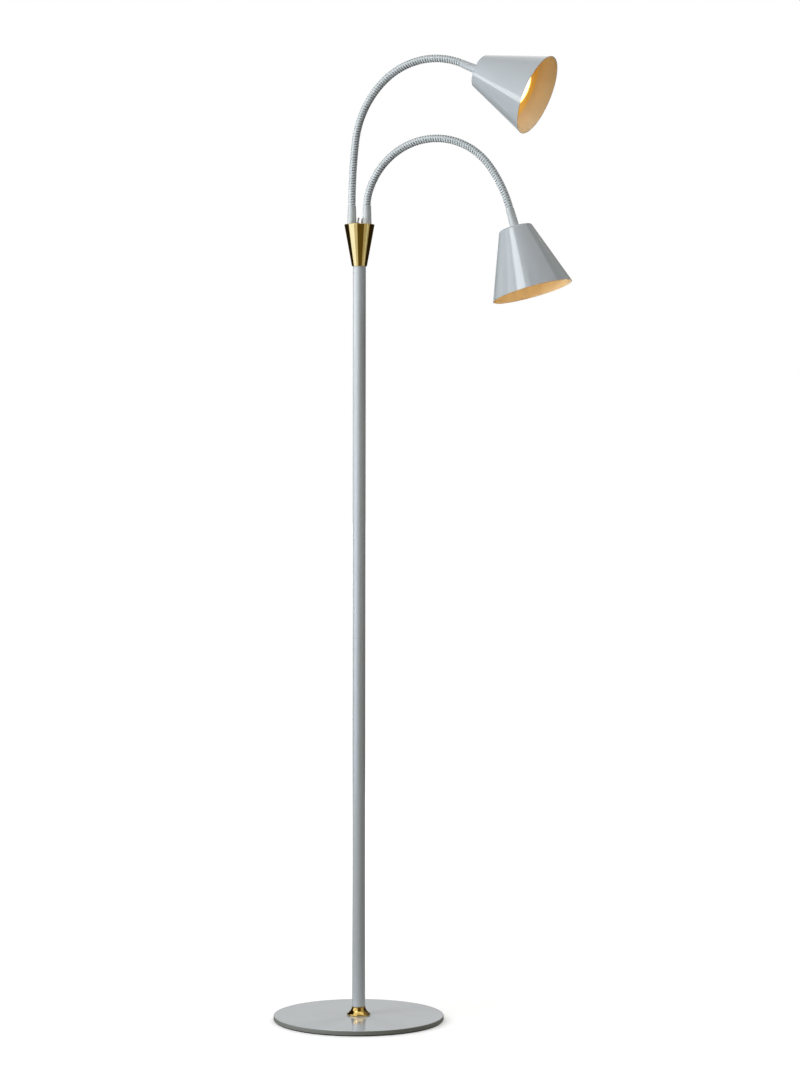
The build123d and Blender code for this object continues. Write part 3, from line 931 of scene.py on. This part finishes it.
def cut_knurls(nut, outer, tooth):
    """Pulls every other upright edge of the rim in."""
    corners = nut.data.vertices
    step = math.tau / sum(at_radius(corner, outer) and corner.co.z > 0 for corner in corners)

    def between_teeth(corner):
        count_round = round(math.atan2(corner.co.y, corner.co.x) / step)
        return at_radius(corner, outer) and count_round % 2 == 0

    edit(nut)
    select_where(nut, "verts", between_teeth)
    widen(1 - tooth / outer)
    leave_edit()


def add_toggle(sizes, side):
    node = f"{side}_toggle"
    ball, tip = sizes.toggle_ball / 2, sizes.toggle_tip / 2
    root = sizes.toggle_root / 2
    reach = sizes.toggle_reach
    tip_turn, ball_turn = DIAGONAL * tip, DIAGONAL * ball
    rings = arc((ball / CLOSED_END, -ball), (ball_turn, -ball_turn), (ball, 0), steps=6)
    rings += [(root, ball)]
    tip_via = (tip_turn, reach - tip + tip_turn)
    rings += arc((tip, reach - tip), tip_via, (tip / CLOSED_END, reach), steps=6)
    lever = turned(f"{side}_toggle_lever", rings, sizes.small_steps // 2, solid=True)
    pivot_z = bottom_z(node) + ball
    place(lever, (0, middle(node).y, pivot_z), sizes.toggle_lean)
    finish_piece(lever, "chrome", f"{side}_lever", [node], smooth=50)


class LAMP_OT_switches(bpy.types.Operator):
    """Model the knurled ring nuts and the levers of the two switches"""

    bl_idname = "lamp.switches"
    bl_label = "Switches"

    def execute(self, context):
        sizes = context.scene.lamp_sizes
        for side in ("front", "back"):
            add_ring_nut(sizes, side)
            add_toggle(sizes, side)
        return {"FINISHED"}


def add_ferrule(sizes, node, seat, lean, body):
    wide, narrow = sizes.ferrule_wide / 2, sizes.ferrule_narrow / 2
    end = sizes.ferrule_length
    thread = sizes.rod_hole / 2
    passage, seat_bore = sizes.ferrule_passage / 2, sizes.ferrule_hose_bore / 2
    hose_end, thread_end = end - sizes.spigot, sizes.ferrule_thread
    rings = [(thread, 0), (wide, 0), (narrow, end), (seat_bore, end), (seat_bore, hose_end)]
    rings += [(passage, hose_end), (passage, thread_end), (thread, thread_end)]
    ferrule = turned(f"{node}_paint", rings, sizes.small_steps)
    round_rings(ferrule, [(wide, 0), (narrow, end)], sizes.ferrule_edge)
    place(ferrule, seat, lean)
    finish_piece(ferrule, "enamel", body, [node])


class LAMP_OT_ferrules(bpy.types.Operator):
    """Model the tapered sockets at both ends of the goosenecks"""

    bl_idname = "lamp.ferrules"
    bl_label = "Ferrules"

    def execute(self, context):
        sizes = context.scene.lamp_sizes
        for arm in ARMS:
            foot = middle(f"{arm}_base_ferrule")
            foot.z = bottom_z(f"{arm}_base_ferrule")
            add_ferrule(sizes, f"{arm}_base_ferrule", foot, 0.0, "stand")
            seat, heading = shade_seat(sizes, arm)
            back = heading + math.pi
            add_ferrule(sizes, f"{arm}_head_ferrule", seat, back, f"{arm}_head")
        return {"FINISHED"}


def bend_span(sizes, arm):
    """The first and last places of an arm's ribbed stretch."""
    ribbed = [station[0] for station in arm_stations(sizes, arm)[1:-1]]
    return tuple(ribbed[0]), tuple(ribbed[-1])


def wind_hose(sizes):
    """Straight hose from the origin up: a round rib wound along Z, with plain ends."""
    pitch = sizes.rib_pitch
    root, crest = sizes.hose_root / 2, sizes.hose_crest / 2
    total = sizes.rib_count * pitch
    deselect()
    bpy.ops.mesh.primitive_circle_add(
        vertices=RIB_SIDES,
        radius=pitch / 2,
        location=(root, 0, sizes.spigot - pitch / 2),
        rotation=(math.radians(90), 0, 0),
    )
    hose = bpy.context.object
    bpy.ops.object.transform_apply(location=True, rotation=True)
    edit(hose)
    select_where(hose, "verts", lambda corner: corner.co.x < root - SAME_PLACE)
    bpy.ops.mesh.delete(type="VERT")
    select_all()
    bpy.ops.transform.resize(
        value=((crest - root) / (pitch / 2), 1, 1), center_override=(root, 0, 0)
    )
    leave_edit()
    apply_modifier(
        hose,
        "SCREW",
        axis="Z",
        screw_offset=pitch,
        iterations=sizes.rib_count + 1,
        steps=sizes.hose_steps,
        render_steps=sizes.hose_steps,
        use_merge_vertices=True,
        merge_threshold=SAME_PLACE,
    )
    cut_ends(hose, sizes.spigot, sizes.spigot + total)
    mark_grooves(hose, root, crest)
    add_spigots(hose, sizes, total)
    return hose


def cut_ends(hose, low, high):
    """Cuts the winding square at both ends of the ribbed length."""
    edit(hose)
    bpy.ops.mesh.remove_doubles(threshold=SAME_PLACE)
    for height, side in ((low, "clear_inner"), (high, "clear_outer")):
        select_all()
        bpy.ops.mesh.bisect(plane_co=(0, 0, height), plane_no=(0, 0, 1), **{side: True})
    leave_edit()


def mark_grooves(hose, root, crest):
    """Keeps the depth in the grooves, 1 at the bottom, for the painted shade."""
    depth = hose.data.attributes.new("groove", "FLOAT", "POINT")
    for corner, mark in zip(hose.data.vertices, depth.data):
        mark.value = (crest - corner.co.xy.length) / (crest - root)


def add_spigots(hose, sizes, total):
    """Draws both open ends out to plain spigots and joins them with the bore."""
    ends = ((sizes.spigot, 0.0), (sizes.spigot + total, 2 * sizes.spigot + total))
    narrow = sizes.hose_root / sizes.hose_crest
    bore = sizes.hose_bore / sizes.hose_root
    for rim, end in ends:

        def on_open_rim(edge, rim=rim):
            return edge.is_boundary and all(at_height(corner, rim) for corner in edge.verts)

        edit(hose)
        select_where(hose, "edges", on_open_rim)
        for rise, share in ((0, narrow), (end - rim, 1), (0, bore)):
            extrude_up(rise, share, end)
        leave_edit()
    edit(hose)
    select_where(hose, "edges", lambda edge: edge.is_boundary)
    bpy.ops.mesh.bridge_edge_loops(number_cuts=sizes.rib_count, interpolation="LINEAR")
    turn_normals_out()
    leave_edit()


class LAMP_OT_goosenecks(bpy.types.Operator):
    """Model the ribbed hoses: one rib wound into a hose, then bent along each arm"""

    bl_idname = "lamp.goosenecks"
    bl_label = "Goosenecks"

    def execute(self, context):
        sizes = context.scene.lamp_sizes
        straight = wind_hose(sizes)
        for arm in ARMS:
            hose = straight.copy()
            hose.data = straight.data.copy()
            hose.name = hose.data.name = f"{arm}_gooseneck_hose"
            context.scene.collection.objects.link(hose)
            route = arm_curve(sizes, arm)
            apply_modifier(hose, "CURVE", object=route, deform_axis="POS_Z")
            bpy.data.objects.remove(route)
            finish_piece(hose, "hose", None, [f"{arm}_gooseneck"], smooth=60)
            start, end = bend_span(sizes, arm)
            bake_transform(hose)
        bpy.data.objects.remove(straight)
        return {"FINISHED"}


def spin_shade(sizes, name):
    top, mouth = sizes.shade_top / 2, sizes.shade_mouth / 2
    wall, end = sizes.shade_wall, sizes.shade_length
    hole = sizes.rod_hole / 2
    flare = math.atan((mouth - top) / end)
    wall_across = wall / math.cos(flare)
    inner_top = top + wall * math.tan(flare) - wall_across
    rings = [(hole, 0), (top, 0), (mouth, end)]
    rings += [(mouth - wall_across, end), (inner_top, wall), (hole, wall)]
    shade = turned(name, rings, sizes.round_steps)
    turn = math.radians(90) - flare
    reach = math.tan(turn / 2)
    shoulder = sizes.shade_shoulder
    round_rings(shade, [(top, 0)], shoulder * reach, segments=6)
    round_rings(shade, [(inner_top, wall)], (shoulder - wall) * reach, segments=6)
    rim = [(mouth, end), (mouth - wall_across, end)]
    round_rings(shade, rim, wall * 0.3, segments=2)
    unwrap_turned(shade)
    dress(shade, FINISHES["shade_enamel"], FINISHES["shade_inside"])
    for face in shade.data.polygons:
        radial = Vector((face.center.x, face.center.y, 0)).normalized()
        inwards = face.normal.dot(radial) < -0.3
        ceiling = face.normal.z > 0.5 and face.center.z < end / 2
        face.material_index = 1 if inwards or ceiling else 0
    return shade


class LAMP_OT_shades(bpy.types.Operator):
    """Model the two conical shades, enamelled outside, with warm pale paint and painted amber
    light round the lamp inside
    """

    bl_idname = "lamp.shades"
    bl_label = "Shades"

    def execute(self, context):
        sizes = context.scene.lamp_sizes
        for arm in ARMS:
            shade = spin_shade(sizes, f"{arm}_shade_metal")
            seat, heading = shade_seat(sizes, arm)
            place(shade, seat, heading)
            finish_piece(shade, None, f"{arm}_head", [f"{arm}_shade"], smooth=30)
        return {"FINISHED"}


def blow_bowl(sizes, name):
    neck, face = sizes.lamp_neck / 2, sizes.lamp_face / 2
    glass, neck_end = sizes.lamp_glass, sizes.lamp_neck_length
    end = sizes.lamp_length
    rim = end - sizes.lamp_rim
    lens_seat = sizes.lens_diameter / 2
    lens_floor = end - sizes.lens_setback - sizes.lens_thickness
    bulge = sizes.lamp_bulge
    belly = ((neck + face) / 2 + bulge, (neck_end + rim) / 2 - bulge)
    inner_belly = (belly[0] - glass, belly[1] + glass / 2)
    inner_floor = (neck - glass, neck_end + glass)
    rings = [(neck / CLOSED_END, 0), (neck, 0)]
    rings += arc((neck, neck_end), belly, (face, rim), steps=12)
    rings += [(face, end), (lens_seat, end), (lens_seat, lens_floor)]
    rings += arc((lens_seat - glass, lens_floor), inner_belly, inner_floor, steps=12)
    rings += [(inner_floor[0] / CLOSED_END, inner_floor[1])]
    bowl = turned(name, rings, sizes.small_steps, solid=True)
    round_rings(bowl, [(face, end), (face, rim)], glass / 3, segments=2)
    add_pins(bowl, sizes)
    return bowl


def add_pins(bowl, sizes):
    """Joins the two contact pins to the lamp's back."""
    foot, reach = sizes.pin_diameter / 2, sizes.pin_length
    waist = foot * 0.7
    rings = [(foot, 0), (waist, -reach / 4), (waist, -reach * 0.6)]
    rings += [(foot, -reach * 0.75), (foot, -reach)]
    for side in (-1, 1):
        pin = turned("lamp_pin", rings, sizes.small_steps // 4, solid=True)
        place(pin, (0, side * sizes.pin_spacing / 2, 0))
        bowl.select_set(True)
        bpy.context.view_layer.objects.active = bowl
        bpy.ops.object.join()


def press_lens(sizes, name):
    edge = sizes.lens_diameter / 2 - SAME_PLACE * 5
    back = sizes.lamp_length - sizes.lens_setback - sizes.lens_thickness
    face = back + sizes.lens_thickness
    dome = sizes.lens_setback
    rings = [(edge / CLOSED_END, back), (edge, back)]
    dome_via = (edge * 0.7, face - dome * 0.5)
    rings += arc((edge, face - dome), dome_via, (edge / (2 * CLOSED_END), face), steps=8)
    return turned(name, rings, sizes.small_steps, solid=True)


class LAMP_OT_lamps(bpy.types.Operator):
    """Model the reflector lamps and their lit lenses"""

    bl_idname = "lamp.lamps"
    bl_label = "Reflector lamps"

    def execute(self, context):
        sizes = context.scene.lamp_sizes
        for arm in ARMS:
            seat, heading = shade_seat(sizes, arm)
            seat = seat + ahead(heading) * sizes.lamp_seat
            bowl = blow_bowl(sizes, f"{arm}_lamp_bowl")
            place(bowl, seat, heading)
            finish_piece(bowl, "reflector", f"{arm}_head", [f"{arm}_lamp"])
            lens = press_lens(sizes, f"{arm}_lamp_front")
            place(lens, seat, heading)
            finish_piece(lens, f"{arm}_lens", f"{arm}_head", [f"{arm}_lamp_lens"])
        return {"FINISHED"}


class LAMP_OT_hardware(bpy.types.Operator):
    """Finish the frame's own pieces: rods, nuts, plugs, pad, bush, cap and holders"""

    bl_idname = "lamp.hardware"
    bl_label = "Hardware"

    def execute(self, context):
        for name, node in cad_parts.items():
            if not node.hide_render:
                dress(node, FINISHES[KEPT_NODES.get(name, "zinc")])
        return {"FINISHED"}


# ---------- stage


class StageSettings(bpy.types.PropertyGroup):
    """Camera and ambient light"""

    camera_bearing: angle("Camera bearing", "Camera's bearing from the stem", CAMERA_BEARING)
    camera_distance: length("Camera distance", "From the stem to the camera", 4.3)
    camera_height: length("Camera height", "Height of the camera", 0.8285)
    camera_yaw: angle("Camera yaw", "How far the camera looks to the right of the stem", 0.7946)
    camera_pitch: angle("Camera pitch", "How far the camera looks down", 1.511)
    camera_roll: angle("Camera roll", "How far the camera is turned about its axis", -0.08)
    focal_length: number("Focal length", "Lens of the camera in millimetres", 99.18)
    ambient: number("Ambient", "Light of the surroundings on the object", 0.34)


def toward(azimuth, reach, height):
    """Place round the stem. Azimuth 0 is the camera's side, and it grows to the image's right."""
    bearing = math.radians(CAMERA_BEARING + azimuth)
    return Vector((reach * math.sin(bearing), -reach * math.cos(bearing), height))


def add_card(name, first, last, low, high, glow, reach):
    """An upright card from one azimuth to another that shows in reflections alone."""
    deselect()
    half_turn = math.radians(last - first) / 2
    bpy.ops.mesh.primitive_plane_add(
        size=1,
        location=toward((first + last) / 2, reach, (low + high) / 2),
        rotation=(math.radians(90), 0, math.radians(CAMERA_BEARING + (first + last) / 2)),
    )
    card = bpy.context.object
    card.name = name
    card.scale = (2 * reach * math.tan(half_turn), high - low, 1)
    finish = Finish(name)
    finish.set(
        Base_Color=(0, 0, 0, 1),
        Roughness=1.0,
        Specular_IOR_Level=0.0,
        Emission_Color=(*glow, 1),
        Emission_Strength=1.0,
    )
    dress(card, finish.material)
    card.visible_camera = card.visible_diffuse = card.visible_shadow = False


def add_area_light(name, spot, size, power, tone, in_gloss, spread):
    light = bpy.data.lights.new(name, "AREA")
    light.shape = "RECTANGLE"
    light.size, light.size_y = size
    light.energy = power
    light.color = tone
    light.spread = math.radians(spread)
    holder = bpy.data.objects.new(name, light)
    location = toward(*spot)
    holder.location = location
    way = Vector(LIGHT_TARGET) - location
    holder.rotation_euler = way.to_track_quat("-Z", "Y").to_euler()
    holder.visible_glossy = in_gloss
    bpy.context.scene.collection.objects.link(holder)


def add_floor():
    """White floor that keeps the lamp's shadow; far from the lamp it is lifted to white."""
    deselect()
    bpy.ops.mesh.primitive_plane_add(size=FLOOR_SIZE, location=(0, 0, -FLOOR_DROP))
    floor = bpy.context.object
    floor.name = "floor"
    finish = Finish("floor")
    distance = finish.add("ShaderNodeVectorMath", {"operation": "LENGTH"})
    finish.feed(distance.inputs[0], finish.place)
    lift = finish.ranged(distance.outputs["Value"], *FLOOR_REACH, *FLOOR_LIFT)
    path = finish.add("ShaderNodeLightPath").outputs
    mirrored = finish.calculated("MULTIPLY", path["Is Glossy Ray"], FLOOR_MIRRORED)
    seen = finish.calculated("MAXIMUM", path["Is Camera Ray"], mirrored)
    finish.set(
        Base_Color=finish.mixed(path["Is Camera Ray"], FLOOR_BOUNCE, FLOOR_SEEN),
        Roughness=1.0,
        Specular_IOR_Level=0.0,
        Emission_Color=WHITE,
        Emission_Strength=finish.calculated("MULTIPLY", seen, lift),
    )
    dress(floor, finish.material)


def set_world(scene, ambient):
    """White to the eye and in reflections, soft and faintly warm light on the object."""
    world = bpy.data.worlds.new("surroundings")
    scene.world = world
    world.use_nodes = True
    sky = Wiring(world.node_tree)
    path = sky.add("ShaderNodeLightPath").outputs
    direct = sky.calculated("MAXIMUM", path["Is Camera Ray"], path["Is Glossy Ray"])
    seen = sky.calculated("MAXIMUM", direct, path["Is Transmission Ray"])
    sky.wire(
        sky.nodes["Background"],
        Color=sky.mixed(seen, WARM_SKY, WHITE),
        Strength=sky.ranged(seen, 0.0, 1.0, ambient, 1.0),
    )


def add_camera(scene, settings):
    """Camera where the photo was taken from."""
    bearing = settings.camera_bearing
    reach = settings.camera_distance
    camera_data = bpy.data.cameras.new("camera")
    camera = bpy.data.objects.new("camera", camera_data)
    scene.collection.objects.link(camera)
    x, y = reach * math.sin(bearing), -reach * math.cos(bearing)
    camera.location = (x, y, settings.camera_height)
    camera.rotation_mode = "XYZ"
    camera.rotation_euler = (
        math.radians(90) - settings.camera_pitch,
        settings.camera_roll,
        bearing - settings.camera_yaw,
    )
    camera_data.sensor_fit = "AUTO"
    camera_data.sensor_width = 36.0
    camera_data.lens = settings.focal_length
    camera_data.dof.use_dof = False
    camera_data.clip_start, camera_data.clip_end = 0.05, 100.0
    scene.camera = camera


class LAMP_OT_stage(bpy.types.Operator):
    """Set up the floor, the surroundings, the lights and the camera"""

    bl_idname = "lamp.stage"
    bl_label = "Stage"

    def execute(self, context):
        settings = context.scene.lamp_stage
        add_floor()
        set_world(context.scene, settings.ambient)
        for name, light in LIGHTS.items():
            add_area_light(name, *light)
        for name, card in CARDS.items():
            add_card(name, *card)
        add_camera(context.scene, settings)
        context.scene.view_settings.view_transform = "Standard"
        return {"FINISHED"}


class LAMP_PT_panel(bpy.types.Panel):
    """Lists the lamp's pieces in the sidebar"""

    bl_idname = "LAMP_PT_panel"
    bl_label = "Floor Lamp"
    bl_space_type = "VIEW_3D"
    bl_region_type = "UI"
    bl_category = "Floor Lamp"

    def draw(self, context):
        layout = self.layout
        for operator in STEPS:
            layout.operator(operator.bl_idname, text=operator.bl_label)


STEPS = (
    LAMP_OT_stage,
    LAMP_OT_base,
    LAMP_OT_collar,
    LAMP_OT_stem,
    LAMP_OT_cone,
    LAMP_OT_switches,
    LAMP_OT_ferrules,
    LAMP_OT_goosenecks,
    LAMP_OT_shades,
    LAMP_OT_lamps,
    LAMP_OT_hardware,
)
SETTINGS = {
    "lamp_sizes": LampSizes,
    "lamp_finishes": LampFinishes,
    "lamp_stage": StageSettings,
}


def register():
    for group in SETTINGS.values():
        bpy.utils.register_class(group)
    for operator in STEPS:
        bpy.utils.register_class(operator)
    bpy.utils.register_class(LAMP_PT_panel)
    for name, group in SETTINGS.items():
        setattr(bpy.types.Scene, name, PointerProperty(type=group))


def unregister():
    for name in SETTINGS:
        delattr(bpy.types.Scene, name)
    bpy.utils.unregister_class(LAMP_PT_panel)
    for operator in reversed(STEPS):
        bpy.utils.unregister_class(operator)
    for group in reversed(SETTINGS.values()):
        bpy.utils.unregister_class(group)


def main():
    register()
    FINISHES.update(make_finishes(bpy.context.scene.lamp_finishes))
    bpy.ops.lamp.stage()
    bpy.ops.lamp.base()
    bpy.ops.lamp.collar()
    bpy.ops.lamp.stem()
    bpy.ops.lamp.cone()
    bpy.ops.lamp.switches()
    bpy.ops.lamp.ferrules()
    bpy.ops.lamp.goosenecks()
    bpy.ops.lamp.shades()
    bpy.ops.lamp.lamps()
    bpy.ops.lamp.hardware()


if __name__ == "__main__":
    main()
